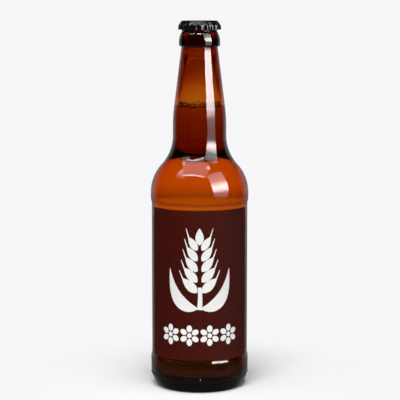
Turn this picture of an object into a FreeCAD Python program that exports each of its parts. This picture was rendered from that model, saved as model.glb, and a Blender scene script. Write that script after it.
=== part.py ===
import FreeCAD, Part
import math
import os
from types import SimpleNamespace

import Sketcher

# A capped amber glass longneck beer bottle, filled, with one paper label.
# Millimetres, +Z up. The origin is the centre of the base, on the surface the bottle stands on,
# and the label faces -Y. Every size below goes into the spreadsheet "Dimensions".
SIZES = {
    # outside of the glass
    "punt_height": 4.2,            # how far the base is pushed up at its centre
    "bearing_inner_radius": 26.5,  # inner edge of the ring that the bottle stands on
    "base_corner_radius": 1.5,
    "heel_radius": 26.0,
    "heel_top": 13.5,
    "contact_radius": 32.8,        # the two bands that touch the neighbours in a crate
    "lower_band_top": 19.4,
    "panel_radius": 32.15,         # label panel, recessed below the bands
    "panel_bottom": 22.6,
    "panel_top": 123.6,
    "upper_band_bottom": 127.6,
    "shoulder_start": 131.0,
    "shoulder_radius": 27.8,
    "neck_root_radius": 29.0,      # hollow arc between the shoulder and the neck
    "neck_radius": 17.88,          # straight foot of the neck
    "neck_taper_start": 175.4,
    "neck_blend_radius": 100.0,
    "neck_top_radius": 12.08,
    "ring_underside": 228.6,
    "ring_fillet": 0.6,
    "ring_radius": 13.72,          # reinforcing ring below the crown
    "ring_corner": 0.8,
    "ring_land_top": 231.2,
    "groove_radius": 11.76,
    "groove_bottom": 238.2,
    "groove_top": 239.0,
    "locking_radius": 13.2,        # bead that the crown is crimped around
    "locking_bottom": 240.5,
    "lip_radius": 3.2,
    "glass_height": 244.7,
    # inside of the glass
    "wall": 2.8,                   # behind the bands, the shoulder and the foot of the neck
    "floor_height": 8.8,
    "floor_radius": 75.0,
    "inner_heel_radius": 8.0,
    "inner_taper_start": 178.0,    # the wall thickens from here up to the throat
    "inner_blend_radius": 90.0,
    "throat_radius": 8.3,
    "throat_bottom": 222.0,
    "mouth_corner": 0.8,
    # raised mould code dots around the heel
    "dot_radius": 0.85,
    "dot_centre_radius": 31.85,
    "dot_height": 8.6,
    "dot_pitch": 7.2,
    # contents
    "fill_level": 189.0,
    "foam_top": 193.4,
    "foam_hole_radius": 9.5,
    # crown cap
    "crown_top": 245.5,
    "crown_sheet": 0.24,
    "crown_corner_centre": 11.0,
    "crown_corner_radius": 1.9,
    "skirt_radius": 13.62,         # over the valleys between the flutes
    "skirt_land_top": 242.4,
    "skirt_bottom": 239.5,
    "flute_count": 21,
    "flute_top": 244.2,
    "flute_top_centre": 12.2,
    "flute_top_radius": 0.5,
    "flute_knee": 242.7,
    "flute_knee_centre": 12.85,
    "flute_knee_radius": 1.1,
    "flute_bottom_centre": 13.15,
    "flute_bottom_radius": 1.2,
    # liner disc inside the crown
    "liner_radius": 11.0,
    "liner_gap": 0.05,
    "liner_skin": 0.3,
    "liner_bead_inner_radius": 6.9,
    # label
    "label_bottom": 22.9,
    "label_height": 99.6,
    "label_angle": 139.4,
    "label_paper": 0.12,
    "glue_film": 0.08,
    "glue_margin": 1.2,
}

# Runs of code dots around the heel: first position and number of dots, positions one dot_pitch apart.
CODE_RUNS = (
    (0, 1), (2, 2), (5, 4), (10, 1), (12, 3), (17, 2), (20, 5),
    (26, 2), (30, 3), (35, 1), (38, 4), (44, 2), (48, 1),
)

RIGHT, UP = "X", "Y"


def make_sheet(doc):
    """Writes the driving dimensions into the spreadsheet."""
    sheet = doc.addObject("Spreadsheet::Sheet", "Dimensions")
    for row, (name, value) in enumerate(SIZES.items(), start=1):
        sheet.set(f"A{row}", name)
        sheet.set(f"B{row}", str(value))
        sheet.setAlias(f"B{row}", name)
    doc.recompute()
    return sheet


def linked(sum_of_names):
    """Turns "contact_radius - wall" into an expression on the spreadsheet."""
    words = [f"Dimensions.{word}" if word in SIZES else word for word in sum_of_names.split()]
    return " ".join(words)


def amount(sum_of_names):
    """The present value of "contact_radius - wall"."""
    total, sign = 0.0, 1
    for word in sum_of_names.split():
        if word in ("+", "-"):
            sign = 1 if word == "+" else -1
        else:
            total += sign * (SIZES[word] if word in SIZES else float(word))
    return total


def plane_of(body, role):
    return [plane for plane in body.Origin.OriginFeatures if plane.Role == role][0]


def add_sketch(body, name, role, height=None):
    """A sketch on one of the body's own planes, lifted to a height of the spreadsheet if one is named."""
    sketch = body.newObject("Sketcher::SketchObject", name)
    sketch.AttachmentSupport = [(plane_of(body, role), "")]
    sketch.MapMode = "FlatFace"
    if height:
        sketch.setExpression("AttachmentOffset.Base.z", linked(height))
    sketch.Visibility = False
    return sketch


def size_constraint(sketch, kind, sum_of_names, *where):
    number = sketch.addConstraint(Sketcher.Constraint(kind, *where, amount(sum_of_names)))
    sketch.setExpression(f"Constraints[{number}]", linked(sum_of_names))


class Outline:
    """A closed outline beside the bottle's axis: first number across, second number up."""

    def __init__(self, body, name, start):
        self.sketch = add_sketch(body, name, "XZ_Plane")
        self.here = start
        self.ends = []
        self.smooth = []

    def line(self, to, smooth=False):
        edge = Part.LineSegment(FreeCAD.Vector(*self.here, 0), FreeCAD.Vector(*to, 0))
        return self._add(edge, 1, 2, to, smooth)

    def arc(self, to, centre, clockwise=False, smooth=False):
        first = math.atan2(self.here[1] - centre[1], self.here[0] - centre[0])
        last = math.atan2(to[1] - centre[1], to[0] - centre[0])
        radius = math.hypot(to[0] - centre[0], to[1] - centre[1])
        circle = Part.Circle(FreeCAD.Vector(*centre, 0), FreeCAD.Vector(0, 0, 1), radius)
        if clockwise:
            return self._add(Part.ArcOfCircle(circle, last, first), 2, 1, to, smooth)
        return self._add(Part.ArcOfCircle(circle, first, last), 1, 2, to, smooth)

    def _add(self, geometry, begin, end, to, smooth):
        """Adds an edge. Smooth means that it leads on into the next edge without a corner."""
        index = self.sketch.addGeometry(geometry, False)
        self.ends.append((begin, end))
        self.smooth.append(smooth)
        self.here = to
        return index

    def close(self):
        count = len(self.ends)
        for edge in range(count):
            after = (edge + 1) % count
            kind = "Tangent" if self.smooth[edge] else "Coincident"
            self.sketch.addConstraint(
                Sketcher.Constraint(kind, edge, self.ends[edge][1], after, self.ends[after][0])
            )

    def place(self, direction, edge, sum_of_names):
        """Holds the far end of an edge at that distance from the axis, or at that height."""
        size_constraint(self.sketch, "Distance" + direction, sum_of_names, -1, 1, edge, self.ends[edge][1])

    def radius(self, edge, sum_of_names):
        size_constraint(self.sketch, "Radius", sum_of_names, edge)

    def upright(self, *edges):
        for edge in edges:
            self.sketch.addConstraint(Sketcher.Constraint("Vertical", edge))

    def level(self, *edges):
        for edge in edges:
            self.sketch.addConstraint(Sketcher.Constraint("Horizontal", edge))

    def on_axis(self, *edges):
        for edge in edges:
            self.sketch.addConstraint(Sketcher.Constraint("PointOnObject", edge, self.ends[edge][1], -2))

    def on_floor(self, *edges):
        for edge in edges:
            self.sketch.addConstraint(Sketcher.Constraint("PointOnObject", edge, self.ends[edge][1], -1))

    def centre_on_axis(self, edge):
        self.sketch.addConstraint(Sketcher.Constraint("PointOnObject", edge, 3, -2))

    def equal(self, first, second):
        self.sketch.addConstraint(Sketcher.Constraint("Equal", first, second))


def toward(start, goal, distance):
    """The point at that distance from start on the line to goal."""
    reach = math.hypot(goal[0] - start[0], goal[1] - start[1])
    return tuple(a + (b - a) * distance / reach for a, b in zip(start, goal))


def touch_point(centre, radius, point):
    """Where the line from a point above or below a circle touches the outer side of the circle."""
    reach = math.hypot(point[0] - centre[0], point[1] - centre[1])
    spread = math.copysign(math.acos(radius / reach), centre[1] - point[1])
    turn = math.atan2(point[1] - centre[1], point[0] - centre[0]) + spread
    return (centre[0] + radius * math.cos(turn), centre[1] + radius * math.sin(turn))


def double_bend(lower, upper):
    """Middle and radius of the two equal arcs that join two upright lines smoothly."""
    height, width = upper[1] - lower[1], abs(upper[0] - lower[0])
    middle = ((lower[0] + upper[0]) / 2, (lower[1] + upper[1]) / 2)
    return middle, (height**2 + width**2) / (4 * width)


def shoulder_centres(size, wall):
    """Centres of the shoulder arc and of the hollow arc above it, and their radii, wall deep in the glass."""
    shoulder = (size.contact_radius - size.shoulder_radius, size.shoulder_start)
    across = size.neck_radius + size.neck_root_radius - shoulder[0]
    reach = size.shoulder_radius + size.neck_root_radius
    root = (shoulder[0] + across, shoulder[1] + math.sqrt(reach**2 - across**2))
    return shoulder, size.shoulder_radius - wall, root, size.neck_root_radius + wall


def add_turn(body, kind, name, sketch):
    """Turns a sketch a full turn about the bottle's axis, adding or cutting material."""
    turn = body.newObject(f"PartDesign::{kind}", name)
    turn.Profile = sketch
    turn.ReferenceAxis = (sketch, ["V_Axis"])
    turn.Angle = 360.0
    body.Tip = turn
    body.Document.recompute()


def add_ring_of(body, name, feature, count, angle):
    """Repeats a feature around the bottle's axis, with the angle as an expression on the spreadsheet."""
    ring = body.newObject("PartDesign::PolarPattern", name)
    ring.Originals = [feature]
    ring.Axis = (plane_of(body, "Z_Axis"), [""])
    ring.Occurrences = count
    ring.setExpression("Angle", angle)
    body.Tip = ring
    body.Document.recompute()


def add_body(doc, label):
    body = doc.addObject("PartDesign::Body", label)
    body.Label = label
    return body


def outside_outline(body, size):
    """Half section of the outside of the glass, from the punt to the lip."""
    punt_radius = (size.bearing_inner_radius**2 + size.punt_height**2) / (2 * size.punt_height)
    heel_centre = (size.contact_radius - size.heel_radius, size.heel_top)
    corner_reach = size.heel_radius - size.base_corner_radius
    corner_drop = size.heel_top - size.base_corner_radius
    corner_centre = (heel_centre[0] + math.sqrt(corner_reach**2 - corner_drop**2), size.base_corner_radius)
    shoulder, shoulder_radius, root, root_radius = shoulder_centres(size, 0)
    blend_centre = (size.neck_radius - size.neck_blend_radius, size.neck_taper_start)
    cone_top = (size.neck_top_radius, size.ring_underside - size.ring_fillet)
    cone_foot = touch_point(blend_centre, size.neck_blend_radius, cone_top)
    fillet_centre = (size.neck_top_radius + size.ring_fillet, cone_top[1])
    ring_inset = size.ring_radius - size.ring_corner
    ring_corner_top = (size.ring_radius, size.ring_underside + size.ring_corner)
    ring_drop = size.ring_radius - size.groove_radius
    ring_rise = size.groove_bottom - size.ring_land_top
    ring_slope_radius = (ring_drop**2 + ring_rise**2) / (2 * ring_drop)
    lip_centre = (size.locking_radius - size.lip_radius, size.glass_height - size.lip_radius)

    line = Outline(body, "OutsideOutline", (0, size.punt_height))
    punt = line.arc((size.bearing_inner_radius, 0), (0, size.punt_height - punt_radius), clockwise=True)
    bearing = line.line((corner_centre[0], 0), smooth=True)
    corner = line.arc(toward(heel_centre, corner_centre, size.heel_radius), corner_centre, smooth=True)
    heel = line.arc((size.contact_radius, size.heel_top), heel_centre, smooth=True)
    lower_band = line.line((size.contact_radius, size.lower_band_top), smooth=True)
    middle, bend = double_bend(line.here, (size.panel_radius, size.panel_bottom))
    step_out = line.arc(middle, (size.contact_radius - bend, size.lower_band_top), smooth=True)
    step_in = line.arc(
        (size.panel_radius, size.panel_bottom),
        (size.panel_radius + bend, size.panel_bottom),
        clockwise=True,
        smooth=True,
    )
    panel = line.line((size.panel_radius, size.panel_top), smooth=True)
    middle, bend = double_bend(line.here, (size.contact_radius, size.upper_band_bottom))
    rise_in = line.arc(middle, (size.panel_radius + bend, size.panel_top), clockwise=True, smooth=True)
    rise_out = line.arc(
        (size.contact_radius, size.upper_band_bottom),
        (size.contact_radius - bend, size.upper_band_bottom),
        smooth=True,
    )
    upper_band = line.line((size.contact_radius, size.shoulder_start), smooth=True)
    shoulder_arc = line.arc(toward(shoulder, root, shoulder_radius), shoulder, smooth=True)
    root_arc = line.arc((size.neck_radius, root[1]), root, clockwise=True, smooth=True)
    foot = line.line((size.neck_radius, size.neck_taper_start), smooth=True)
    blend = line.arc(cone_foot, blend_centre, smooth=True)
    cone = line.line(cone_top)
    fillet = line.arc((fillet_centre[0], size.ring_underside), fillet_centre, clockwise=True, smooth=True)
    underside = line.line((ring_inset, size.ring_underside), smooth=True)
    ring_corner = line.arc(ring_corner_top, (ring_inset, ring_corner_top[1]), smooth=True)
    ring_land = line.line((size.ring_radius, size.ring_land_top), smooth=True)
    ring_slope = line.arc(
        (size.groove_radius, size.groove_bottom), (size.ring_radius - ring_slope_radius, size.ring_land_top)
    )
    groove = line.line((size.groove_radius, size.groove_top))
    locking_edge = line.line((size.locking_radius, size.locking_bottom))
    bead = line.line((size.locking_radius, lip_centre[1]), smooth=True)
    lip = line.arc((lip_centre[0], size.glass_height), lip_centre, smooth=True)
    top = line.line((0, size.glass_height))
    axis = line.line((0, size.punt_height))

    line.close()
    line.upright(lower_band, panel, upper_band, foot, ring_land, groove, bead)
    line.level(underside, top)
    line.equal(step_out, step_in)
    line.equal(rise_in, rise_out)
    line.on_floor(punt, bearing)
    line.on_axis(top, axis)
    line.centre_on_axis(punt)
    line.place(RIGHT, punt, "bearing_inner_radius")
    line.place(UP, axis, "punt_height")
    line.radius(corner, "base_corner_radius")
    line.radius(heel, "heel_radius")
    line.place(UP, heel, "heel_top")
    line.place(RIGHT, lower_band, "contact_radius")
    line.place(UP, lower_band, "lower_band_top")
    line.place(RIGHT, step_in, "panel_radius")
    line.place(UP, step_in, "panel_bottom")
    line.place(UP, panel, "panel_top")
    line.place(UP, rise_out, "upper_band_bottom")
    line.place(RIGHT, upper_band, "contact_radius")
    line.place(UP, upper_band, "shoulder_start")
    line.radius(shoulder_arc, "shoulder_radius")
    line.radius(root_arc, "neck_root_radius")
    line.place(RIGHT, foot, "neck_radius")
    line.place(UP, foot, "neck_taper_start")
    line.radius(blend, "neck_blend_radius")
    line.place(RIGHT, cone, "neck_top_radius")
    line.place(UP, cone, "ring_underside - ring_fillet")
    line.radius(fillet, "ring_fillet")
    line.place(UP, fillet, "ring_underside")
    line.radius(ring_corner, "ring_corner")
    line.place(RIGHT, ring_land, "ring_radius")
    line.place(UP, ring_land, "ring_land_top")
    line.place(RIGHT, ring_slope, "groove_radius")
    line.place(UP, ring_slope, "groove_bottom")
    line.place(UP, groove, "groove_top")
    line.place(RIGHT, locking_edge, "locking_radius")
    line.place(UP, locking_edge, "locking_bottom")
    line.radius(lip, "lip_radius")
    line.place(UP, lip, "glass_height")
    return line.sketch


def inside_outline(body, size):
    """Half section of the space inside the glass, from the floor to just above the mouth."""
    wall_radius = size.contact_radius - size.wall
    foot_radius = size.neck_radius - size.wall
    floor_centre = (0, size.floor_height - size.floor_radius)
    heel_across = wall_radius - size.inner_heel_radius
    heel_reach = size.floor_radius + size.inner_heel_radius
    heel_centre = (heel_across, floor_centre[1] + math.sqrt(heel_reach**2 - heel_across**2))
    shoulder, shoulder_radius, root, root_radius = shoulder_centres(size, size.wall)
    blend_centre = (foot_radius - size.inner_blend_radius, size.inner_taper_start)
    throat_foot = (size.throat_radius, size.throat_bottom)
    cone_foot = touch_point(blend_centre, size.inner_blend_radius, throat_foot)
    mouth_radius = size.throat_radius + size.mouth_corner
    mouth_centre = (mouth_radius, size.glass_height - size.mouth_corner)

    line = Outline(body, "InsideOutline", (0, size.floor_height))
    floor = line.arc(
        toward(floor_centre, heel_centre, size.floor_radius), floor_centre, clockwise=True, smooth=True
    )
    heel = line.arc((wall_radius, heel_centre[1]), heel_centre, smooth=True)
    side = line.line((wall_radius, size.shoulder_start), smooth=True)
    shoulder_arc = line.arc(toward(shoulder, root, shoulder_radius), shoulder, smooth=True)
    root_arc = line.arc((foot_radius, root[1]), root, clockwise=True, smooth=True)
    foot = line.line((foot_radius, size.inner_taper_start), smooth=True)
    blend = line.arc(cone_foot, blend_centre, smooth=True)
    cone = line.line(throat_foot)
    throat = line.line((size.throat_radius, mouth_centre[1]), smooth=True)
    mouth = line.arc((mouth_radius, size.glass_height), mouth_centre, clockwise=True)
    rim = line.line((mouth_radius, size.crown_top))
    top = line.line((0, size.crown_top))
    axis = line.line((0, size.floor_height))

    line.close()
    line.upright(side, foot, throat, rim)
    line.level(top)
    line.on_axis(top, axis)
    line.centre_on_axis(floor)
    line.radius(floor, "floor_radius")
    line.place(UP, axis, "floor_height")
    line.radius(heel, "inner_heel_radius")
    line.place(RIGHT, side, "contact_radius - wall")
    line.place(UP, side, "shoulder_start")
    line.radius(shoulder_arc, "shoulder_radius - wall")
    line.radius(root_arc, "neck_root_radius + wall")
    line.place(RIGHT, foot, "neck_radius - wall")
    line.place(UP, foot, "inner_taper_start")
    line.radius(blend, "inner_blend_radius")
    line.place(RIGHT, cone, "throat_radius")
    line.place(UP, cone, "throat_bottom")
    line.radius(mouth, "mouth_corner")
    line.place(RIGHT, mouth, "throat_radius + mouth_corner")
    line.place(UP, mouth, "glass_height")
    line.place(UP, rim, "crown_top")
    return line.sketch


def make_bottle(doc, size):
    body = add_body(doc, "glass_bottle")
    add_turn(body, "Revolution", "Envelope", outside_outline(body, size))
    for number, (first, count) in enumerate(CODE_RUNS, start=1):
        dot = body.newObject("PartDesign::AdditiveSphere", f"CodeDot{number}")
        turn = f"({first} * Dimensions.dot_pitch)"
        seam_inward = FreeCAD.Rotation(FreeCAD.Vector(0, 0, 1), 90 + first * size.dot_pitch)
        dot.Placement = FreeCAD.Placement(FreeCAD.Vector(0, 0, 0), seam_inward)
        dot.setExpression("Radius", linked("dot_radius"))
        dot.setExpression("Placement.Base.x", f"Dimensions.dot_centre_radius * sin{turn}")
        dot.setExpression("Placement.Base.y", f"-Dimensions.dot_centre_radius * cos{turn}")
        dot.setExpression("Placement.Base.z", linked("dot_height"))
        body.Tip = dot
        doc.recompute()
        if count > 1:
            add_ring_of(body, f"CodeRun{number}", dot, count, f"{count - 1} * Dimensions.dot_pitch")
    add_turn(body, "Groove", "Cavity", inside_outline(body, size))
    return body


def cut_across(body, name, height, radius, upward):
    """Cuts away everything within a radius above or below a height."""
    sketch = add_sketch(body, f"{name}Circle", "XY_Plane", height)
    circle = Part.Circle(FreeCAD.Vector(0, 0, 0), FreeCAD.Vector(0, 0, 1), amount(radius))
    sketch.addGeometry(circle, False)
    sketch.addConstraint(Sketcher.Constraint("Coincident", 0, 3, -1, 1))
    size_constraint(sketch, "Radius", radius, 0)
    cut = body.newObject("PartDesign::Pocket", name)
    cut.Profile = sketch
    cut.Type = "ThroughAll"
    cut.Reversed = upward
    body.Tip = cut
    body.Document.recompute()


def make_beer(doc, size):
    body = add_body(doc, "beer")
    add_turn(body, "Revolution", "FullBottle", inside_outline(body, size))
    cut_across(body, "EmptyNeck", "fill_level", "contact_radius", upward=True)
    return body


def make_foam(doc, size):
    body = add_body(doc, "foam_collar")
    add_turn(body, "Revolution", "FullBottle", inside_outline(body, size))
    cut_across(body, "EmptyNeck", "foam_top", "contact_radius", upward=True)
    cut_across(body, "LiquidBelow", "fill_level", "contact_radius", upward=False)
    cut_across(body, "OpenMiddle", "foam_top", "foam_hole_radius", upward=False)
    return body


def crown_outline(body, size, name, inset):
    """Half section of the crown between its flutes, filled in, and smaller by the inset."""
    shrink = amount("0" + inset)
    corner = (size.crown_corner_centre, size.crown_top - size.crown_corner_radius)
    corner_radius = size.crown_corner_radius + shrink
    knee = (size.skirt_radius + shrink, size.skirt_land_top)

    line = Outline(body, name, (0, size.crown_top + shrink))
    top = line.line((corner[0], size.crown_top + shrink), smooth=True)
    shoulder = line.arc(touch_point(corner, corner_radius, knee), corner, clockwise=True, smooth=True)
    slope = line.line(knee)
    land = line.line((knee[0], size.skirt_bottom))
    edge = line.line((0, size.skirt_bottom))
    axis = line.line((0, size.crown_top + shrink))

    line.close()
    line.level(top, edge)
    line.upright(land)
    line.on_axis(edge, axis)
    line.place(UP, axis, "crown_top" + inset)
    line.place(RIGHT, top, "crown_corner_centre")
    line.radius(shoulder, "crown_corner_radius" + inset)
    line.place(RIGHT, slope, "skirt_radius" + inset)
    line.place(UP, slope, "skirt_land_top")
    line.place(UP, land, "skirt_bottom")
    return line.sketch


def flute_section(body, name, height, centre, radius):
    """Half disc that bulges outward from the skirt toward +X."""
    sketch = add_sketch(body, name, "XY_Plane", height)
    middle = FreeCAD.Vector(amount(centre), 0, 0)
    reach = FreeCAD.Vector(0, amount(radius), 0)
    circle = Part.Circle(middle, FreeCAD.Vector(0, 0, 1), amount(radius))
    sketch.addGeometry(Part.ArcOfCircle(circle, -math.pi / 2, math.pi / 2), False)
    sketch.addGeometry(Part.LineSegment(middle + reach, middle - reach), False)
    sketch.addConstraint(Sketcher.Constraint("Coincident", 0, 2, 1, 1))
    sketch.addConstraint(Sketcher.Constraint("Coincident", 0, 1, 1, 2))
    sketch.addConstraint(Sketcher.Constraint("Vertical", 1))
    sketch.addConstraint(Sketcher.Constraint("PointOnObject", 0, 3, -1))
    sketch.addConstraint(Sketcher.Constraint("PointOnObject", 0, 3, 1))
    size_constraint(sketch, "DistanceX", centre, -1, 1, 0, 3)
    size_constraint(sketch, "Radius", radius, 0)
    return sketch


def add_flutes(body, kind, name, inset):
    """Lofts one flute through three sections, smaller by the inset, and repeats it around the skirt."""
    sections = []
    for place in ("top", "knee", "bottom"):
        height = "skirt_bottom" if place == "bottom" else f"flute_{place}"
        radius = f"flute_{place}_radius" + inset
        sections.append(flute_section(body, f"{name}_{place}", height, f"flute_{place}_centre", radius))
    flute = body.newObject(f"PartDesign::{kind}", name)
    flute.Profile = sections[0]
    flute.Sections = sections[1:]
    flute.Ruled = True
    body.Tip = flute
    body.Document.recompute()
    add_ring_of(body, f"{name}Ring", flute, SIZES["flute_count"], "360")


def make_crown(doc, size):
    sheet = " - crown_sheet"
    body = add_body(doc, "crown_cap")
    add_turn(body, "Revolution", "Blank", crown_outline(body, size, "OuterOutline", ""))
    add_flutes(body, "AdditiveLoft", "Flute", "")
    add_turn(body, "Groove", "Inside", crown_outline(body, size, "InnerOutline", sheet))
    add_flutes(body, "SubtractiveLoft", "Hollow", sheet)
    return body


def make_liner(doc, size):
    body = add_body(doc, "cap_liner")
    top = size.crown_top - size.crown_sheet
    seat = size.glass_height + size.liner_gap
    skin = top - size.liner_skin
    ramp = size.liner_bead_inner_radius - (skin - seat)

    line = Outline(body, "LinerOutline", (0, top))
    upper = line.line((size.liner_radius, top))
    rim = line.line((size.liner_radius, seat))
    ring = line.line((size.liner_bead_inner_radius, seat))
    slope = line.line((ramp, skin))
    lower = line.line((0, skin))
    axis = line.line((0, top))

    line.close()
    line.level(upper, ring, lower)
    line.upright(rim)
    line.on_axis(lower, axis)
    line.sketch.addConstraint(Sketcher.Constraint("Angle", slope, math.radians(135)))
    line.place(UP, axis, "crown_top - crown_sheet")
    line.place(RIGHT, upper, "liner_radius")
    line.place(UP, rim, "glass_height + liner_gap")
    line.place(RIGHT, ring, "liner_bead_inner_radius")
    line.place(UP, lower, "crown_top - crown_sheet - liner_skin")
    add_turn(body, "Revolution", "Disc", line.sketch)
    return body


def make_wrap(doc, name, inner, outer, angle, bottom, height):
    """A sheet of constant thickness wrapped around the front of the bottle."""
    body = add_body(doc, name)
    sketch = add_sketch(body, "WrapOutline", "XY_Plane", bottom)
    half = math.radians(amount(angle)) / 2
    first, last = -math.pi / 2 - half, -math.pi / 2 + half
    ends = []
    for radius in (inner, outer):
        circle = Part.Circle(FreeCAD.Vector(0, 0, 0), FreeCAD.Vector(0, 0, 1), amount(radius))
        sketch.addGeometry(Part.ArcOfCircle(circle, first, last), False)
        directions = [FreeCAD.Vector(math.cos(turn), math.sin(turn), 0) for turn in (first, last)]
        ends.append([direction * amount(radius) for direction in directions])
    for side in (0, 1):
        sketch.addGeometry(Part.LineSegment(ends[0][side], ends[1][side]), False)
        sketch.addConstraint(Sketcher.Constraint("Coincident", 0, side + 1, 2 + side, 1))
        sketch.addConstraint(Sketcher.Constraint("Coincident", 1, side + 1, 2 + side, 2))
        sketch.addConstraint(Sketcher.Constraint("PointOnObject", -1, 1, 2 + side))
    sketch.addConstraint(Sketcher.Constraint("Coincident", 0, 3, -1, 1))
    sketch.addConstraint(Sketcher.Constraint("Coincident", 1, 3, -1, 1))
    sketch.addConstraint(Sketcher.Constraint("Symmetric", 1, 1, 1, 2, -2))
    size_constraint(sketch, "Radius", inner, 0)
    size_constraint(sketch, "Radius", outer, 1)
    number = sketch.addConstraint(Sketcher.Constraint("Angle", 2, 1, 3, 1, math.radians(amount(angle))))
    sketch.setExpression(f"Constraints[{number}]", linked(angle))
    pad = body.newObject("PartDesign::Pad", "Wrap")
    pad.Profile = sketch
    pad.setExpression("Length", linked(height))
    body.Tip = pad
    doc.recompute()
    return body


def main():
    doc = FreeCAD.newDocument("Bottle")
    make_sheet(doc)
    size = SimpleNamespace(**SIZES)
    bodies = [
        make_bottle(doc, size),
        make_beer(doc, size),
        make_foam(doc, size),
        make_crown(doc, size),
        make_liner(doc, size),
        make_wrap(
            doc,
            "label_glue",
            "panel_radius",
            "panel_radius + glue_film",
            "label_angle - glue_margin - glue_margin",
            "label_bottom + glue_margin",
            "label_height - glue_margin - glue_margin",
        ),
        make_wrap(
            doc,
            "front_label",
            "panel_radius + glue_film",
            "panel_radius + glue_film + label_paper",
            "label_angle",
            "label_bottom",
            "label_height",
        ),
    ]
    doc.recompute()
    for item in doc.Objects:
        if "Invalid" in item.State or "Error" in item.State:
            raise RuntimeError(f"{item.Label} did not compute")
    os.makedirs("parts", exist_ok=True)
    for body in bodies:
        shape = body.Shape
        if shape.isNull() or not shape.isValid():
            raise RuntimeError(f"{body.Label} has no valid solid")
        print(f"{body.Label}: {len(shape.Solids)} solid, {shape.Volume:.0f} mm3, {shape.BoundBox}")
        shape.exportStep(f"parts/{body.Label}.step")


main()
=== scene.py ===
import math
import random

import bpy
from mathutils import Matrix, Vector


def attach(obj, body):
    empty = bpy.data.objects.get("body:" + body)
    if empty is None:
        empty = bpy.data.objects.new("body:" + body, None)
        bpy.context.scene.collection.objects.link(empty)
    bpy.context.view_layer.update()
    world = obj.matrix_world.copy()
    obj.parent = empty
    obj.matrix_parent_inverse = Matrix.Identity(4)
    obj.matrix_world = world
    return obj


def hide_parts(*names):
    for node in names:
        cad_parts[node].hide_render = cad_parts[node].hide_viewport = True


# Looks for a capped amber beer bottle. Lengths in the tables are millimetres, meshes are metres.
# +Z is up, the label faces -Y.

MM = 0.001

# Outside and inside of the glass.
GLASS = dict(
    punt_height=4.2, bearing_inner=26.5, base_corner=1.5, heel_radius=26.0, heel_top=13.5,
    band=32.8, lower_band_top=19.4, panel=32.15, panel_bottom=22.6, panel_top=123.6,
    upper_band_bottom=127.6, shoulder_start=131.0, shoulder=27.8, root=29.0,
    neck=17.88, taper_start=175.4, blend=100.0, neck_top=12.08,
    ring_under=228.6, ring_fillet=0.6, ring=13.72, ring_corner=0.8, ring_land_top=231.2,
    groove=11.76, groove_bottom=238.2, groove_top=239.0, lock=13.2, lock_bottom=240.5, lip=3.2, top=244.7,
    wall=2.8, floor_height=8.8, floor=75.0, inner_heel=8.0, inner_taper_start=178.0, inner_blend=90.0,
    throat=8.3, throat_bottom=222.0, mouth_corner=0.8,
)
DOT_PITCH, DOT_HEIGHT, DOT_RADIUS, DOT_RISE = 7.2, 8.6, 1.10, 0.50
HEEL_AT_DOTS = 32.3  # radius of the heel behind the dots
# Runs of code dots around the heel: first position and number of dots, positions one pitch apart.
CODE_RUNS = (
    (0, 1), (2, 2), (5, 4), (10, 1), (12, 3), (17, 2), (20, 5),
    (26, 2), (30, 3), (35, 1), (38, 4), (44, 2), (48, 1),
)

FILL, MENISCUS, FOAM_TOP = 189.0, 0.3, 193.4
WET = 0.06          # how far the liquid's mesh reaches into the glass, so that the two refract as one

# Flare is where the skirt starts to spread from the crown's straight side.
CROWN = dict(
    top=245.5, sheet=0.24, corner_at=11.0, corner=1.9, bottom=239.5, flutes=21,
    flare_top=244.4, flare_radius=12.72,
)
LABEL = dict(bottom=22.9, top=122.5, angle=139.4, inner=32.24, outer=32.35)
GLUE = dict(inner=32.17, outer=32.22, margin=1.2)

# Brightness of the parts of the studio, and the share of the sweep that shows in reflections.
# Edge and full are how far round the sweep starts and is fully lit.
SKY = dict(
    room=0.012, around=0.3, ground=0.13, wall=0.95, low=0.35, glow=0.40,
    edge=0.38, full=0.78, shine=0.55, low_shine=0.12,
)

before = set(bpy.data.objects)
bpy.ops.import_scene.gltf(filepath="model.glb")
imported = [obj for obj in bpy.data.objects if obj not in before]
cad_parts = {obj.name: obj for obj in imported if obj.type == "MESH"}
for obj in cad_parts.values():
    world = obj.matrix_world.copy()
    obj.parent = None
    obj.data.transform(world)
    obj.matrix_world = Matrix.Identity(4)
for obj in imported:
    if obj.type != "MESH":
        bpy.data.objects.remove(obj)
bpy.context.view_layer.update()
random.seed(7)


# ---------------------------------------------------------------- outlines

class Outline:
    """A half section drawn from point to point, (distance from the axis, height), as a list of points."""

    def __init__(self, start):
        self.points = [start]

    def line(self, to, step=4.0):
        here = self.points[-1]
        count = max(1, round(math.dist(here, to) / step))
        for k in range(1, count + 1):
            self.points.append(tuple(a + (b - a) * k / count for a, b in zip(here, to)))

    def arc(self, to, centre, clockwise=False, step=0.8):
        here = self.points[-1]
        radius = math.dist(to, centre)
        first = math.atan2(here[1] - centre[1], here[0] - centre[0])
        last = math.atan2(to[1] - centre[1], to[0] - centre[0])
        if clockwise and last > first:
            last -= math.tau
        if not clockwise and last < first:
            last += math.tau
        count = max(4, round(abs(last - first) * radius / step))
        for k in range(1, count + 1):
            turn = first + (last - first) * k / count
            self.points.append((centre[0] + radius * math.cos(turn), centre[1] + radius * math.sin(turn)))


def toward(start, goal, distance):
    reach = math.dist(start, goal)
    return tuple(a + (b - a) * distance / reach for a, b in zip(start, goal))


def touch_point(centre, radius, point):
    """Where the line from a point above or below a circle touches its outer side."""
    spread = math.copysign(math.acos(radius / math.dist(point, centre)), centre[1] - point[1])
    turn = math.atan2(point[1] - centre[1], point[0] - centre[0]) + spread
    return (centre[0] + radius * math.cos(turn), centre[1] + radius * math.sin(turn))


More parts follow.
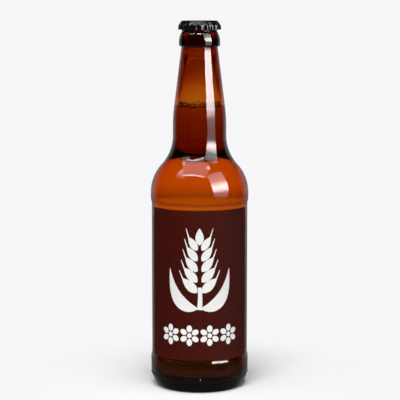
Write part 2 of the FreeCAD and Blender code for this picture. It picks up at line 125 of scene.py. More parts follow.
def shoulder_centres(g, depth):
    """Centres and radii of the shoulder arc and of the hollow arc above it, depth inside the glass."""
    shoulder = (g["band"] - g["shoulder"], g["shoulder_start"])
    across = g["neck"] + g["root"] - shoulder[0]
    reach = g["shoulder"] + g["root"]
    root = (shoulder[0] + across, shoulder[1] + math.sqrt(reach**2 - across**2))
    return shoulder, g["shoulder"] - depth, root, g["root"] + depth


def double_bend(line, to):
    """Two equal arcs from one upright line to another."""
    here = line.points[-1]
    height, width = to[1] - here[1], abs(to[0] - here[0])
    bend = (height**2 + width**2) / (4 * width)
    side = -1 if to[0] < here[0] else 1
    middle = ((here[0] + to[0]) / 2, (here[1] + to[1]) / 2)
    line.arc(middle, (here[0] + side * bend, here[1]), clockwise=side > 0, step=0.3)
    line.arc(to, (to[0] - side * bend, to[1]), clockwise=side < 0, step=0.3)


def outside(g):
    punt = (g["bearing_inner"] ** 2 + g["punt_height"] ** 2) / (2 * g["punt_height"])
    heel = (g["band"] - g["heel_radius"], g["heel_top"])
    reach, drop = g["heel_radius"] - g["base_corner"], g["heel_top"] - g["base_corner"]
    corner = (heel[0] + math.sqrt(reach**2 - drop**2), g["base_corner"])
    shoulder, shoulder_radius, root, _ = shoulder_centres(g, 0)
    blend = (g["neck"] - g["blend"], g["taper_start"])
    cone_top = (g["neck_top"], g["ring_under"] - g["ring_fillet"])
    ring_inset = g["ring"] - g["ring_corner"]
    ring_drop, ring_rise = g["ring"] - g["groove"], g["groove_bottom"] - g["ring_land_top"]
    slope = (ring_drop**2 + ring_rise**2) / (2 * ring_drop)
    lip = (g["lock"] - g["lip"], g["top"] - g["lip"])

    line = Outline((0, g["punt_height"]))
    line.arc((g["bearing_inner"], 0), (0, g["punt_height"] - punt), clockwise=True, step=1.5)
    line.line((corner[0], 0), step=0.8)
    line.arc(toward(heel, corner, g["heel_radius"]), corner, step=0.25)
    line.arc((g["band"], g["heel_top"]), heel, step=0.22)
    line.line((g["band"], g["lower_band_top"]), step=2)
    double_bend(line, (g["panel"], g["panel_bottom"]))
    line.line((g["panel"], g["panel_top"]), step=6)
    double_bend(line, (g["band"], g["upper_band_bottom"]))
    line.line((g["band"], g["shoulder_start"]), step=2)
    line.arc(toward(shoulder, root, shoulder_radius), shoulder)
    line.arc((g["neck"], root[1]), root, clockwise=True)
    line.line((g["neck"], g["taper_start"]), step=2)
    line.arc(touch_point(blend, g["blend"], cone_top), blend, step=1)
    line.line(cone_top, step=3)
    fillet = (g["neck_top"] + g["ring_fillet"], cone_top[1])
    line.arc((fillet[0], g["ring_under"]), fillet, clockwise=True, step=0.15)
    line.line((ring_inset, g["ring_under"]), step=0.5)
    ring_low = g["ring_under"] + g["ring_corner"]
    line.arc((g["ring"], ring_low), (ring_inset, ring_low), step=0.15)
    line.line((g["ring"], g["ring_land_top"]), step=1)
    line.arc((g["groove"], g["groove_bottom"]), (g["ring"] - slope, g["ring_land_top"]), step=0.4)
    line.line((g["groove"], g["groove_top"]), step=0.4)
    line.line((g["lock"], g["lock_bottom"]), step=0.5)
    line.line((g["lock"], lip[1]), step=0.5)
    line.arc((lip[0], g["top"]), lip, step=0.3)
    return line


def inside(g, grow=0.0):
    """The hollow of the bottle from the floor to the mouth, grown into the glass by a little."""
    wall = g["band"] - g["wall"] + grow
    foot = g["neck"] - g["wall"] + grow
    floor = (0, g["floor_height"] - g["floor"])
    across = g["band"] - g["wall"] - g["inner_heel"]
    heel = (across, floor[1] + math.sqrt((g["floor"] + g["inner_heel"]) ** 2 - across**2))
    shoulder, shoulder_radius, root, _ = shoulder_centres(g, g["wall"] - grow)
    blend = (g["neck"] - g["wall"] - g["inner_blend"], g["inner_taper_start"])
    throat = (g["throat"] + grow, g["throat_bottom"])

    line = Outline((0, g["floor_height"] - grow))
    line.arc(toward(floor, heel, g["floor"] - grow), floor, clockwise=True, step=1.5)
    line.arc((wall, heel[1]), heel, step=0.5)
    line.line((wall, g["shoulder_start"]), step=6)
    line.arc(toward(shoulder, root, shoulder_radius), shoulder)
    line.arc((foot, root[1]), root, clockwise=True)
    line.line((foot, g["inner_taper_start"]), step=2)
    line.arc(touch_point(blend, g["inner_blend"] + grow, throat), blend, step=1)
    line.line(throat, step=1)
    return line


def whole_glass(g):
    """Closed section: the outside, over the lip and down the inside to the floor."""
    outer, inner = outside(g), inside(g)
    mouth = g["throat"] + g["mouth_corner"]
    inner.line((g["throat"], g["top"] - g["mouth_corner"]), step=2)
    inner.arc((mouth, g["top"]), (mouth, g["top"] - g["mouth_corner"]), clockwise=True, step=0.2)
    return outer.points + inner.points[::-1]


# ---------------------------------------------------------------- meshes

def make_mesh(name, verts, faces, material, crease=None):
    mesh = bpy.data.meshes.new(name)
    mesh.from_pydata(verts, [], faces)
    mesh.validate()
    mesh.polygons.foreach_set("use_smooth", [True] * len(mesh.polygons))
    if crease:
        mesh.set_sharp_from_angle(angle=math.radians(crease))
    mesh.materials.append(material)
    obj = bpy.data.objects.new(name, mesh)
    bpy.context.scene.collection.objects.link(obj)
    return obj


def lathe(name, rows, material, crease=30):
    """Turns rows of (radius, height, segments, bulge) about the axis. Radius 0 is one point on the axis.
    Bulge is None or a function of the angle that adds to the radius."""
    verts, faces, rings = [], [], []
    for radius, height, segments, bulge in rows:
        first = len(verts)
        if radius < 1e-6:
            verts.append((0.0, 0.0, height * MM))
            rings.append((first, 1))
            continue
        for k in range(segments):
            turn = math.tau * k / segments
            reach = radius + (bulge(turn) if bulge else 0.0)
            verts.append((reach * math.cos(turn) * MM, reach * math.sin(turn) * MM, height * MM))
        rings.append((first, segments))
    for (a, na), (b, nb) in zip(rings, rings[1:]):
        if na == nb:
            for k in range(na):
                m = (k + 1) % na
                faces.append((a + k, a + m, b + m, b + k))
        elif na < nb:
            _fan(faces, a, na, b, nb, False)
        else:
            _fan(faces, b, nb, a, na, True)
    return make_mesh(name, verts, faces, material, crease)


def _fan(faces, few, count, many, total, flipped):
    """Joins a ring of few points, or one point, to a ring with a whole multiple of them."""
    share = total // count
    for k in range(count):
        base = few + k
        for s in range(share):
            p, q = many + k * share + s, many + (k * share + s + 1) % total
            faces.append((base, p, q) if flipped else (base, q, p))
        if count > 1:
            last, after = many + (k + 1) * share % total, few + (k + 1) % count
            faces.append((base, last, after) if flipped else (base, after, last))


def wrap_sheet(name, inner, outer, angle, bottom, top, material, columns=160, lines=60):
    """A thin sheet of that thickness wrapped round the front of the bottle, closed at its edges."""
    verts, faces = [], []
    for radius in (inner, outer):
        for j in range(lines + 1):
            height = bottom + (top - bottom) * j / lines
            for i in range(columns + 1):
                turn = math.radians(-90 - angle / 2 + angle * i / columns)
                verts.append((radius * math.cos(turn) * MM, radius * math.sin(turn) * MM, height * MM))
    faces = sheet_faces(columns, lines)
    return make_mesh(name, verts, faces, material, 40)


def sheet_faces(columns, lines):
    """Faces of two stacked grids, the first one facing in and the second out, and of the rim between them."""
    wide = columns + 1
    half = wide * (lines + 1)
    faces = []
    for j in range(lines):
        for i in range(columns):
            a = j * wide + i
            faces.append((a, a + wide, a + wide + 1, a + 1))
            faces.append((half + a, half + a + 1, half + a + wide + 1, half + a + wide))
    rim = [i for i in range(wide)]
    rim += [j * wide + columns for j in range(1, lines + 1)]
    rim += [lines * wide + i for i in range(columns - 1, -1, -1)]
    rim += [j * wide for j in range(lines - 1, 0, -1)]
    for a, b in zip(rim, rim[1:] + rim[:1]):
        faces.append((a, b, half + b, half + a))
    return faces


# ---------------------------------------------------------------- materials

def new_material(name):
    material = bpy.data.materials.new(name)
    material.use_nodes = True
    nodes = material.node_tree.nodes
    nodes.clear()
    output = nodes.new("ShaderNodeOutputMaterial")
    shader = nodes.new("ShaderNodeBsdfPrincipled")
    material.node_tree.links.new(shader.outputs["BSDF"], output.inputs["Surface"])
    return material, shader, output


def add_node(material, kind, **settings):
    node = material.node_tree.nodes.new(kind)
    for key, value in settings.items():
        setattr(node, key, value)
    return node


def link(material, source, target):
    material.node_tree.links.new(source, target)


def object_point(material, scale=(1, 1, 1)):
    """The point on the object, stretched by scale."""
    coordinates = add_node(material, "ShaderNodeTexCoord")
    mapping = add_node(material, "ShaderNodeMapping")
    mapping.inputs["Scale"].default_value = scale
    link(material, coordinates.outputs["Object"], mapping.inputs["Vector"])
    return mapping.outputs["Vector"]


def noise(material, point, scale, detail=2.0, roughness=0.5):
    node = add_node(material, "ShaderNodeTexNoise")
    node.inputs["Scale"].default_value = scale
    node.inputs["Detail"].default_value = detail
    node.inputs["Roughness"].default_value = roughness
    link(material, point, node.inputs["Vector"])
    return node.outputs["Fac"]


def bump(material, shader, height, distance, strength=1.0):
    node = add_node(material, "ShaderNodeBump")
    node.inputs["Distance"].default_value = distance
    node.inputs["Strength"].default_value = strength
    link(material, height, node.inputs["Height"])
    link(material, node.outputs["Normal"], shader.inputs["Normal"])


def ramp(material, fac, stops):
    node = add_node(material, "ShaderNodeValToRGB")
    elements = node.color_ramp.elements
    while len(elements) < len(stops):
        elements.new(0.5)
    for element, (at, colour) in zip(elements, stops):
        element.position = at
        element.color = (*colour, 1)
    link(material, fac, node.inputs["Fac"])
    return node.outputs["Color"]


def clear_material(name, ior, colour, density, wobble):
    """A clear body that colours light by its depth, with a faint wobble of the surface."""
    material, shader, output = new_material(name)
    shader.inputs["Base Color"].default_value = (1, 1, 1, 1)
    shader.inputs["Roughness"].default_value = 0.0
    shader.inputs["IOR"].default_value = ior
    shader.inputs["Transmission Weight"].default_value = 1.0
    depth = add_node(material, "ShaderNodeVolumeAbsorption")
    depth.inputs["Color"].default_value = (*colour, 1)
    depth.inputs["Density"].default_value = density
    link(material, depth.outputs["Volume"], output.inputs["Volume"])
    if wobble:
        bump(material, shader, noise(material, object_point(material, (1, 1, 0.5)), 90, 2.0), wobble)
    return material


def glass_material():
    return clear_material("amber_glass", 1.52, (0.885, 0.615, 0.0), 1000.0, 0.00004)


def beer_material():
    return clear_material("beer", 1.34, (0.975, 0.91, 0.0), 150.0, 0)


def enamel_material():
    material, shader, _ = new_material("black_enamel")
    point = object_point(material)
    shader.inputs["Roughness"].default_value = 0.12
    shader.inputs["Specular IOR Level"].default_value = 0.4
    grain = noise(material, point, 900, 3.0)
    shade = ramp(material, grain, [(0.3, (0.003, 0.003, 0.004)), (0.8, (0.008, 0.008, 0.010))])
    link(material, shade, shader.inputs["Base Color"])
    bump(material, shader, noise(material, point, 700, 3.0), 0.00002)
    return material


def liner_material():
    material, shader, _ = new_material("cap_liner")
    grain = noise(material, object_point(material), 400, 3.0)
    shade = ramp(material, grain, [(0.2, (0.62, 0.62, 0.58)), (0.9, (0.78, 0.78, 0.74))])
    link(material, shade, shader.inputs["Base Color"])
    shader.inputs["Roughness"].default_value = 0.5
    return material


def paper_material():
    material, shader, _ = new_material("label_paper")
    fibres = noise(material, object_point(material, (1, 1, 0.6)), 1500, 5.0, 0.65)
    shade = ramp(material, fibres, [(0.25, (0.048, 0.0048, 0.0026)), (0.8, (0.066, 0.0068, 0.0036))])
    link(material, shade, shader.inputs["Base Color"])
    shader.inputs["Roughness"].default_value = 0.75
    shader.inputs["Specular IOR Level"].default_value = 0.05
    bump(material, shader, fibres, 0.00003)
    return material


def ink_material():
    material, shader, _ = new_material("white_ink")
    grain = noise(material, object_point(material), 1700, 4.0, 0.6)
    shade = ramp(material, grain, [(0.2, (0.90, 0.89, 0.87)), (0.8, (0.98, 0.975, 0.96))])
    link(material, shade, shader.inputs["Base Color"])
    shader.inputs["Roughness"].default_value = 0.5
    bump(material, shader, grain, 0.00002)
    return material


def glue_material():
    material, shader, _ = new_material("label_glue")
    grain = noise(material, object_point(material, (1, 1, 8)), 60, 3.0)
    shade = ramp(material, grain, [(0.3, (0.42, 0.33, 0.20)), (0.7, (0.72, 0.62, 0.44))])
    link(material, shade, shader.inputs["Base Color"])
    shader.inputs["Roughness"].default_value = 0.6
    return material


def bubble_material():
    material, shader, _ = new_material("foam_bubbles")
    grain = noise(material, object_point(material), 500, 2.0)
    shade = ramp(material, grain, [(0.2, (0.98, 0.84, 0.55)), (0.9, (1.0, 0.93, 0.75))])
    link(material, shade, shader.inputs["Base Color"])
    shader.inputs["Roughness"].default_value = 0.0
    shader.inputs["IOR"].default_value = 1.33
    shader.inputs["Transmission Weight"].default_value = 1.0
    return material


def froth_material():
    material, shader, _ = new_material("foam_froth")
    grain = noise(material, object_point(material), 700, 2.0)
    shade = ramp(material, grain, [(0.3, (0.55, 0.30, 0.09)), (0.8, (0.85, 0.58, 0.25))])
    link(material, shade, shader.inputs["Base Color"])
    shader.inputs["Roughness"].default_value = 0.25
    shader.inputs["IOR"].default_value = 1.3
    shader.inputs["Transmission Weight"].default_value = 0.6
    return material


def painted_shade_line_material():
    material, shader, _ = new_material("foam_edge_painted_shade")
    grain = noise(material, object_point(material), 900, 2.0)
    # Near black: painted shade for the line where the foam meets the glass.
    shade = ramp(material, grain, [(0.3, (0.010, 0.003, 0.001)), (0.8, (0.04, 0.012, 0.003))])
    link(material, shade, shader.inputs["Base Color"])
    shader.inputs["Roughness"].default_value = 0.4
    return material


# ---------------------------------------------------------------- glass and contents

def code_positions():
    return [first + k for first, count in CODE_RUNS for k in range(count)]


def dot_bulge(height):
    """How far the code dots stand out at a height: a function of the angle, or None clear of them."""
    rise = (height - DOT_HEIGHT) / DOT_RADIUS
    if abs(rise) >= 1:
        return None
    turns = [math.radians(-90 + slot * DOT_PITCH) % math.tau for slot in code_positions()]

    def bulge(turn):
        nearest = min(abs((turn - t + math.pi) % math.tau - math.pi) for t in turns)
        across = nearest * HEEL_AT_DOTS / DOT_RADIUS
        left = 1 - across**2 - rise**2
        return DOT_RISE * math.sqrt(left) if left > 0 else 0.0

    return bulge


def build_bottle(material):
    rows = []
    for radius, height in whole_glass(GLASS):
        on_heel = radius > 31 and abs(height - DOT_HEIGHT) < DOT_RADIUS + 0.3
        segments = 1152 if on_heel else 288
        rows.append((radius, height, segments, dot_bulge(height) if on_heel else None))
    bottle = lathe("amber_glass_bottle", rows, material)
    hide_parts("glass_bottle")
    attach(bottle, "bottle")


def bore_at(height, grow=0.0):
    """Radius inside the glass at a height."""
    points = inside(GLASS, grow).points
    for (r0, z0), (r1, z1) in zip(points, points[1:]):
        if z0 <= height <= z1 and z1 > 100:
            return r0 + (r1 - r0) * (height - z0) / (z1 - z0)
    return GLASS["throat"] + grow


def build_beer(material):
    wall = [p for p in inside(GLASS, WET).points if p[1] < FILL - 0.5]
    edge = bore_at(FILL + MENISCUS, WET)
    rows = [(r, z, 288, None) for r, z in wall]
    rows.append((edge, FILL + MENISCUS, 288, None))
    for inward in (0.25, 0.6, 1.1, 1.8, 2.8, 4.2, 6.5, 9.0):
        rows.append((edge - inward, FILL + MENISCUS * math.exp(-inward / 1.3), 288, None))
    rows.append((0.0, FILL, 1, None))
    beer = lathe("beer_liquid", rows, material)
    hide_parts("beer")
    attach(beer, "bottle")


def add_ball(verts, faces, centre, radius, flat, around=14, lines=9):
    """Adds one round bubble, flattened, to the lists of a mesh."""
    first = len(verts)
    for j in range(lines + 1):
        tilt = math.pi * j / lines
        count = 1 if j in (0, lines) else around
        for i in range(count):
            turn = math.tau * i / count
            verts.append((
                centre[0] + radius * math.sin(tilt) * math.cos(turn),
                centre[1] + radius * math.sin(tilt) * math.sin(turn),
                centre[2] + radius * flat * math.cos(tilt),
            ))
    for i in range(around):
        m = (i + 1) % around
        faces.append((first, first + 1 + i, first + 1 + m))
        bottom = first + 1 + (lines - 2) * around
        faces.append((bottom + i, len(verts) - 1, bottom + m))
        for j in range(lines - 2):
            a = first + 1 + j * around
            faces.append((a + i, a + around + i, a + around + m, a + m))


def add_bubbles(name, kinds, material, spots):
    """One mesh of bubbles along the wall. Kinds are (radius, lowest, highest, how many tries).
    Spots are the bubbles already there, (centre, radius), and each new one is added to them."""
    verts, faces = [], []
    for size, low, high, tries in kinds:
        for _ in range(tries):
            radius = size * random.uniform(0.75, 1.15)
            turn = random.uniform(0, math.tau)
            height = FILL + 0.5 * radius + random.uniform(low, high)
            reach = bore_at(height) - 0.05 - radius
            spot = (reach * math.cos(turn), reach * math.sin(turn), height)
            free = all(math.dist(spot, other) > (radius + r) * 0.93 for other, r in spots)
            if height + radius < FOAM_TOP and free:
                spots.append((spot, radius))
                add_ball(verts, faces, [c * MM for c in spot], radius * MM, 0.85, 16, 10)
    bubbles = make_mesh(name, verts, faces, material)
    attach(bubbles, "bottle")
    return bubbles


def build_foam():
    """Clear bubbles with creamier froth between them."""
    spots = []
    large = [(1.3, 0.2, 0.9, 60), (0.9, 0.8, 2.6, 50)]
    small = [(1.0, 0.0, 0.6, 160), (0.65, 0.0, 1.6, 260), (0.45, 1.0, 3.0, 90)]
    clear = add_bubbles("foam_bubbles", large, bubble_material(), spots)
    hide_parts("foam_collar")
    add_bubbles("foam_froth", small, froth_material(), spots)
    # Painted shade: a dark wavy line where the foam meets the glass.
    build_painted_shade_line(painted_shade_line_material())


def build_painted_shade_line(material):
    """The wavy dark brown line where the foam meets the glass: painted shade, a near-black ring along the
    liquid's edge.
    """
    around, sides = 360, 6
    verts, faces = [], []
    for k in range(around):
        turn = math.tau * k / around
        waves = 0.26 * math.sin(11 * turn) + 0.20 * math.sin(29 * turn + 1.0) + 0.12 * math.sin(53 * turn)
        height = FILL - 0.10 + waves
        thick = 0.42 + 0.14 * math.sin(17 * turn + 2.0)
        reach = bore_at(height) - 0.03 - thick
        for i in range(sides):
            lean = math.tau * i / sides
            out = reach + thick * math.cos(lean)
            up = height + thick * math.sin(lean)
            verts.append((out * math.cos(turn) * MM, out * math.sin(turn) * MM, up * MM))
    for k in range(around):
        a, b = k * sides, (k + 1) % around * sides
        for i in range(sides):
            j = (i + 1) % sides
            faces.append((a + i, b + i, b + j, a + j))
    shade_line = make_mesh("foam_edge_painted_shade", verts, faces, material)
    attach(shade_line, "bottle")


# ---------------------------------------------------------------- crown

def build_crown(material):
    c = CROWN
    corner = (c["corner_at"], c["top"] - c["corner"])

    def flare(height):
        """Radius over the valleys and over the ridges of the skirt at a height."""
        drop = (c["flare_top"] - height) / (c["flare_top"] - c["bottom"])
        valley = c["flare_radius"] + 0.92 * min(1.0, drop * 2.3) ** 0.9
        ridge = c["flare_radius"] + 1.40 * min(1.0, drop * 2.1) ** 0.85 + 0.24 * drop
        return valley, ridge

    def wave(valley, ridge):
        def bulge(turn):
            part = 0.5 + 0.5 * math.cos(c["flutes"] * turn)
            return (ridge - valley) * part**1.15

        return bulge

    segments = c["flutes"] * 20
    outer = [(r, c["top"], 1 if r == 0 else segments, None) for r in (0, 3, 6, 9, c["corner_at"])]
    for k in range(1, 9):
        turn = math.radians(90 - 66 * k / 8)
        across, up = corner[0] + c["corner"] * math.cos(turn), corner[1] + c["corner"] * math.sin(turn)
        outer.append((across, up, segments, None))
    skirt = [244.2, 243.9, 243.5, 243.1, 242.7, 242.3, 241.8, 241.2, 240.6, 240.0, 239.7, c["bottom"]]
    for height in skirt:
        valley, ridge = flare(height)
        outer.append((valley, height, segments, wave(valley, ridge)))
    inner = []
    for radius, height, count, bulge in outer[::-1]:
        lift = c["sheet"] if height > c["flare_top"] - 0.1 else 0.0
        inset = c["sheet"] if height < c["top"] - 0.1 else 0.0
        inner.append((max(0.0, radius - inset), height - lift, count, bulge))
    crown = lathe("crown_shell", outer + inner, material, 50)
    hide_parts("crown_cap")
    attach(crown, "cap")


# ---------------------------------------------------------------- label

def on_label(across, up, out=0.0):
    """A point of the label's surface: across to the right of its middle and up from its bottom edge."""
    radius = LABEL["outer"] + out
    turn = -math.pi / 2 + across / LABEL["outer"]
    return (radius * math.cos(turn) * MM, radius * math.sin(turn) * MM, (LABEL["bottom"] + up) * MM)


class Print:
    """Flat printed shapes that follow the label's curve, gathered into one mesh."""

    def __init__(self):
        self.verts, self.faces = [], []

    def patch(self, rows):
        """Adds a grid of (across, up) points as a skin of ink with a rim."""
        lines, columns = len(rows) - 1, len(rows[0]) - 1
        first = len(self.verts)
        for out in (0.004, 0.022):
            for row in rows:
                self.verts += [on_label(across, up, out) for across, up in row]
        self.faces += [tuple(first + k for k in face) for face in sheet_faces(columns, lines)]

    def stroke(self, path, width, cells=3):
        """Adds a ribbon along a path of points, with a width for each fraction of its length."""
        rows = []
        for k, point in enumerate(path):
            before, after = path[max(0, k - 1)], path[min(len(path) - 1, k + 1)]
            along = Vector((after[0] - before[0], after[1] - before[1])).normalized()
            half = width(k / (len(path) - 1)) / 2
            side = Vector((along[1], -along[0])) * half
            rows.append([
                (point[0] - side[0] * (1 - 2 * c / cells), point[1] - side[1] * (1 - 2 * c / cells))
                for c in range(cells + 1)
            ])
        self.patch(rows)

    def grain(self, root, length, width, lean):
        """Adds one kernel: an almond from its root, leaning by an angle from upright."""
        tip = (root[0] + length * math.sin(lean), root[1] + length * math.cos(lean))
        path = [tuple(a + (b - a) * k / 16 for a, b in zip(root, tip)) for k in range(17)]
        self.stroke(path, lambda t: 0.12 + width * math.sin(math.pi * t**0.8) ** 0.9 if 0 < t < 1 else 0.1, 5)

    def petal(self, root, length, width, lean):
        """Adds one oval petal from its root, leaning by an angle from upright."""
        along = (math.sin(lean), math.cos(lean))
        path = []
        for k in range(15):
            gone = length * (1 - math.cos(math.pi * k / 14)) / 2
            path.append((root[0] + along[0] * gone, root[1] + along[1] * gone))
        self.stroke(path, lambda t: max(0.08, width * math.sin(math.pi * t)), 5)


def curve(points, steps=24):
    """A smooth path through control points of one Bezier curve."""
    path = []
    for k in range(steps + 1):
        t = k / steps
        level = [Vector(p) for p in points]
        while len(level) > 1:
            level = [a.lerp(b, t) for a, b in zip(level, level[1:])]
        path.append(tuple(level[0]))
    return path


def build_label(paper, ink, glue):
    sheet = wrap_sheet(
        "front_label_paper", LABEL["inner"], LABEL["outer"], LABEL["angle"],
        LABEL["bottom"], LABEL["top"], paper,
    )
    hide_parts("front_label")
    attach(sheet, "bottle")

    film = wrap_sheet(
        "label_glue_film", GLUE["inner"], GLUE["outer"], LABEL["angle"] - 2 * GLUE["margin"],
        LABEL["bottom"] + GLUE["margin"], LABEL["top"] - GLUE["margin"], glue,
    )
    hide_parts("label_glue")
    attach(film, "bottle")

    print_ = Print()
    build_ear(print_)
    build_ornaments(print_)
    art = make_mesh("label_print", print_.verts, print_.faces, ink, 40)
    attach(art, "bottle")


def build_ear(art):
    """A plump ear of barley on its stalk between two broad leaves, 54 mm high."""
    low = 33.8
    art.stroke(curve([(0, low), (0.8, low + 8), (0, low + 15)]), lambda t: 3.4 - 1.0 * t)
    for side in (-1, 1):
        leaf = [(side * 1.2, low + 1), (side * 14, low + 0.5), (side * 19, low + 11), (side * 20.8, low + 27)]
        art.stroke(
            curve(leaf, 40), lambda t: 0.3 + 8.0 * math.sin(math.pi * t**0.72) ** 1.05 if 0 < t < 1 else 0.2, 5
        )
        for k in range(5):
            up = low + 11.5 + 7.0 * k
            lean = math.radians(47 - 3.5 * k)
            size = 1.0 - 0.055 * k
            art.grain((side * 1.5, up), 14.0 * size, 6.1 * size, side * lean)
            tip = (side * (1.5 + 13.4 * size * math.sin(lean)), up + 13.4 * size * math.cos(lean))
            away = (tip[0] + side * 6.0 * math.sin(lean * 0.5), tip[1] + 6.0 * math.cos(lean * 0.5))
            art.stroke(curve([tip, away], 10), lambda t: 0.95 - 0.6 * t, 2)
    art.grain((0, low + 43.0), 11.2, 5.4, 0)


def build_ornaments(art):
    """A row of four flowers with six petals each."""
    base = 16.5
    for across in (-20.4, -6.8, 6.8, 20.4):
        for k in range(6):
            turn = math.tau * k / 6
            root = (across + 2.2 * math.sin(turn), base + 2.2 * math.cos(turn))
            art.petal(root, 4.7, 3.7, turn)
        art.petal((across, base - 1.6), 3.2, 3.2, 0)


# ---------------------------------------------------------------- stage, light and camera

def build_floor():
    """A pale round floor that fades out into the backdrop."""
    material, shader, output = new_material("pale_floor")
    shader.inputs["Base Color"].default_value = (0.9, 0.9, 0.9, 1)
    shader.inputs["Roughness"].default_value = 0.9
    shader.inputs["Specular IOR Level"].default_value = 0.0
    coordinates = add_node(material, "ShaderNodeTexCoord")
    length = add_node(material, "ShaderNodeVectorMath", operation="LENGTH")
    link(material, coordinates.outputs["Object"], length.inputs[0])
    fade = add_node(material, "ShaderNodeMapRange", interpolation_type="SMOOTHSTEP")
    fade.inputs["From Min"].default_value = 0.035
    fade.inputs["From Max"].default_value = 0.15
    link(material, length.outputs["Value"], fade.inputs["Value"])
    clear = add_node(material, "ShaderNodeBsdfTransparent")
    mix = add_node(material, "ShaderNodeMixShader")
    link(material, fade.outputs["Result"], mix.inputs["Fac"])
    link(material, shader.outputs["BSDF"], mix.inputs[1])
    link(material, clear.outputs["BSDF"], mix.inputs[2])
    link(material, mix.outputs["Shader"], output.inputs["Surface"])
    verts, faces = [(0, 0, 0)], []
    for ring in range(1, 13):
        for k in range(96):
            turn = math.tau * k / 96
            verts.append((0.05 * ring * math.cos(turn), 0.05 * ring * math.sin(turn), 0))
    for k in range(96):
        m = (k + 1) % 96
        faces.append((0, 1 + k, 1 + m))
        for ring in range(11):
            a = 1 + ring * 96
            faces.append((a + k, a + 96 + k, a + 96 + m, a + m))
    floor = make_mesh("floor", verts, faces, material)
    floor.location.z = -0.00002
    floor.visible_glossy = False


def build_world():
    """White to the camera. Everything else sees a studio: a lit white sweep behind and a dim room around."""
    world = bpy.data.worlds.new("studio")
    bpy.context.scene.world = world
    world.use_nodes = True
    nodes, links = world.node_tree.nodes, world.node_tree.links
    nodes.clear()

    def maths(operation, *values):
        node = nodes.new("ShaderNodeMath")
        node.operation = operation
        for socket, given in zip(node.inputs, values):
            if isinstance(given, (int, float)):
                socket.default_value = given
            else:
                links.new(given, socket)
        return node.outputs[0]

    def between(source, low, high, far=1.0, near=0.0):
        """Smooth step from near at low to far at high."""
        node = nodes.new("ShaderNodeMapRange")
        node.interpolation_type = "SMOOTHSTEP"
        flipped = high < low
        node.inputs["From Min"].default_value = min(low, high)
        node.inputs["From Max"].default_value = max(low, high)
        node.inputs["To Min"].default_value = far if flipped else near
        node.inputs["To Max"].default_value = near if flipped else far
        links.new(source, node.inputs["Value"])
        return node.outputs["Result"]

    coordinates = nodes.new("ShaderNodeTexCoord")
    split = nodes.new("ShaderNodeSeparateXYZ")
    links.new(coordinates.outputs["Generated"], split.inputs["Vector"])
    behind, up = split.outputs["Y"], split.outputs["Z"]
    path = nodes.new("ShaderNodeLightPath")
    wall = between(up, 0.45, 0.12, SKY["wall"])
    low = between(up, 0.0, -0.08, SKY["low"])
    glow = between(up, -0.12, -0.26, SKY["glow"])
    lit = maths("ADD", wall, maths("ADD", low, glow))
    sweep = maths("MULTIPLY", lit, between(behind, SKY["edge"], SKY["full"]))
    shine = between(up, -0.25, 0.0, SKY["shine"], SKY["low_shine"])
    mirrored = maths("SUBTRACT", path.outputs["Is Glossy Ray"], path.outputs["Is Transmission Ray"])
    kept = maths("MULTIPLY_ADD", mirrored, maths("SUBTRACT", shine, 1.0), 1.0)
    across = maths("ABSOLUTE", split.outputs["X"])
    beside, before = between(across, 0.82, 0.96, SKY["around"]), between(behind, -0.60, -0.85, SKY["around"])
    around = maths("MULTIPLY", maths("ADD", beside, before), wall)
    around = maths("MULTIPLY", around, maths("SUBTRACT", 1.0, mirrored))
    ground = between(up, -0.12, -0.35, SKY["ground"])
    level = maths("ADD", maths("MULTIPLY", sweep, kept), maths("ADD", ground, SKY["room"]))
    level = maths("ADD", level, around)
    room = nodes.new("ShaderNodeBackground")
    links.new(level, room.inputs["Strength"])
    plain = nodes.new("ShaderNodeBackground")
    plain.inputs["Color"].default_value = (0.925, 0.925, 0.94, 1)
    mix = nodes.new("ShaderNodeMixShader")
    links.new(path.outputs["Is Camera Ray"], mix.inputs["Fac"])
    links.new(room.outputs["Background"], mix.inputs[1])
    links.new(plain.outputs["Background"], mix.inputs[2])
    output = nodes.new("ShaderNodeOutputWorld")
    links.new(mix.outputs["Shader"], output.inputs["Surface"])


def place(obj, azimuth, elevation, distance, aim=(0, 0, 0.15)):
    """Stands an object off at a distance, turned to face the aim. Azimuth is to the right of the camera."""
    turn, lift = math.radians(azimuth), math.radians(elevation)
    obj.location = Vector(aim) + distance * Vector((
        math.sin(turn) * math.cos(lift), -math.cos(turn) * math.cos(lift), math.sin(lift),
    ))
    obj.rotation_euler = (Vector(aim) - obj.location).to_track_quat("-Z", "Y").to_euler()


def softbox(name, azimuth, elevation, distance, width, height, power):
    """A rectangular light."""
    light = bpy.data.lights.new(name, "AREA")
    light.shape = "RECTANGLE"
    light.size, light.size_y = width, height
    light.energy = power
    lamp = bpy.data.objects.new(name, light)
    place(lamp, azimuth, elevation, distance)
    bpy.context.scene.collection.objects.link(lamp)
    return lamp


def glow_panel(name, azimuth, elevation, distance, width, height, stops):
    """A panel seen only in reflections, with a brightness for each fraction of its height."""
    material, _, output = new_material(name)
    coordinates = add_node(material, "ShaderNodeTexCoord")
    split = add_node(material, "ShaderNodeSeparateXYZ")
    link(material, coordinates.outputs["Generated"], split.inputs["Vector"])
    top = max(level for _, level in stops)
    shade = ramp(material, split.outputs["Y"], [(at, (level / top,) * 3) for at, level in stops])
    strength = add_node(material, "ShaderNodeMath", operation="MULTIPLY")
    strength.inputs[1].default_value = top
    link(material, shade, strength.inputs[0])
    lamp = add_node(material, "ShaderNodeEmission")
    link(material, strength.outputs[0], lamp.inputs["Strength"])
    link(material, lamp.outputs["Emission"], output.inputs["Surface"])
    corners = [(x * width / 2, y * height / 2, 0) for x, y in ((-1, -1), (1, -1), (1, 1), (-1, 1))]
    panel = make_mesh(name, corners, [(0, 1, 2, 3)], material)
    place(panel, azimuth, elevation, distance)
    panel.visible_camera = False
    panel.visible_diffuse = False
    panel.visible_transmission = False
    panel.visible_shadow = False


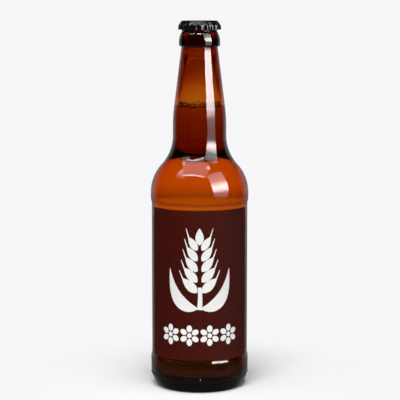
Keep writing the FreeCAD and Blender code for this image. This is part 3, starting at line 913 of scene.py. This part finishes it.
def painted_shade_card(name, depth, low, high, stops, half_width=0.08):
    """A tinted card that far behind the axis, met only by light that has gone through the bottle: painted shade
    on what is seen through the glass. Stops are the tint at heights in metres."""
    material, _, output = new_material(name)
    coordinates = add_node(material, "ShaderNodeTexCoord")
    split = add_node(material, "ShaderNodeSeparateXYZ")
    link(material, coordinates.outputs["Object"], split.inputs["Vector"])
    spread = add_node(material, "ShaderNodeMapRange")
    spread.inputs["From Min"].default_value = low
    spread.inputs["From Max"].default_value = high
    link(material, split.outputs["Z"], spread.inputs["Value"])
    shares = [((height - low) / (high - low), colour) for height, colour in stops]
    tint = ramp(material, spread.outputs["Result"], shares)
    sheet = add_node(material, "ShaderNodeBsdfTransparent")
    link(material, tint, sheet.inputs["Color"])
    link(material, sheet.outputs["BSDF"], output.inputs["Surface"])
    corners = [(x * half_width, depth, z) for x, z in ((-1, low), (1, low), (1, high), (-1, high))]
    card = make_mesh(name, corners, [(0, 1, 2, 3)], material)
    card.visible_camera = False
    card.visible_diffuse = False
    card.visible_glossy = False
    card.visible_shadow = False


def build_painted_shade_cards():
    """Paint shade on the filled part of the neck, the top of the neck, the ring, and the bottle below its
    shoulder, by darkening what is seen through them.
    """
    painted_shade_card("neck_painted_shade", 0.040, 0.136, 0.222, [
        (0.136, (0.14, 0.008, 0.004)), (0.158, (0.18, 0.023, 0.01)), (0.184, (0.35, 0.11, 0.04)),
        (0.187, (1, 1, 1)), (0.202, (1, 1, 1)), (0.207, (0.78, 0.66, 0.6)), (0.215, (0.55, 0.38, 0.3)),
    ])
    painted_shade_card("ring_painted_shade", 0.020, 0.219, 0.246, [
        (0.2206, (1, 1, 1)), (0.2245, (0.45, 0.4, 0.4)), (0.2285, (0.015, 0.01, 0.01)),
    ])
    painted_shade_card("heel_painted_shade", 0.034, 0.0, 0.11, [
        (0.004, (0.01, 0.005, 0.005)), (0.010, (0.03, 0.012, 0.012)),
        (0.014, (0.38, 0.18, 0.18)), (0.018, (0.04, 0.015, 0.015)),
    ], 0.033)


def build_camera():
    data = bpy.data.cameras.new("camera")
    data.sensor_width = 36.0
    data.lens = 135.8
    camera = bpy.data.objects.new("camera", data)
    camera.location = (0.0003, -1.007, 0.254)
    camera.rotation_euler = (math.radians(90 - 7.27), 0, 0)
    bpy.context.scene.collection.objects.link(camera)
    bpy.context.scene.camera = camera


def main():
    build_bottle(glass_material())
    build_beer(beer_material())
    build_foam()
    build_crown(enamel_material())
    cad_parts["cap_liner"].data.materials.clear()
    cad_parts["cap_liner"].data.materials.append(liner_material())
    build_label(paper_material(), ink_material(), glue_material())
    build_floor()
    build_world()
    # Painted shade: cards behind the bottle that darken the neck, the ring and the heel as seen through the
    # glass.
    build_painted_shade_cards()
    glow_panel("right_panel", 52, 24, 1.2, 0.90, 1.50, [
        (0.0, 0.0), (0.06, 1.6), (0.20, 2.6), (0.34, 18.0), (0.40, 20.0), (0.48, 17.0), (0.62, 5.0), (1.0, 2.0),
    ])
    glow_panel("top_panel", -20, 69, 1.0, 0.90, 0.61, [
        (0.0, 13.0), (0.09, 13.0), (0.12, 2.0), (0.88, 2.0), (0.91, 13.0), (1.0, 13.0),
    ])
    glow_panel("left_panel", -62, 54, 1.2, 0.5, 0.7, [(0.0, 0.0), (0.5, 5.0), (1.0, 0.0)])
    for name, azimuth, elevation, distance, size, power in (
        ("front_fill", -10, 32, 1.6, 1.2, 21), ("overhead", 0, 75, 1.2, 0.8, 13),
    ):
        lamp = softbox(name, azimuth, elevation, distance, size, size, power)
        lamp.visible_glossy = False
        lamp.visible_transmission = False
    build_camera()
    scene = bpy.context.scene
    scene.view_settings.view_transform = "Standard"
    scene.cycles.max_bounces = 24
    scene.cycles.transmission_bounces = 20
    scene.cycles.transparent_max_bounces = 12


main()
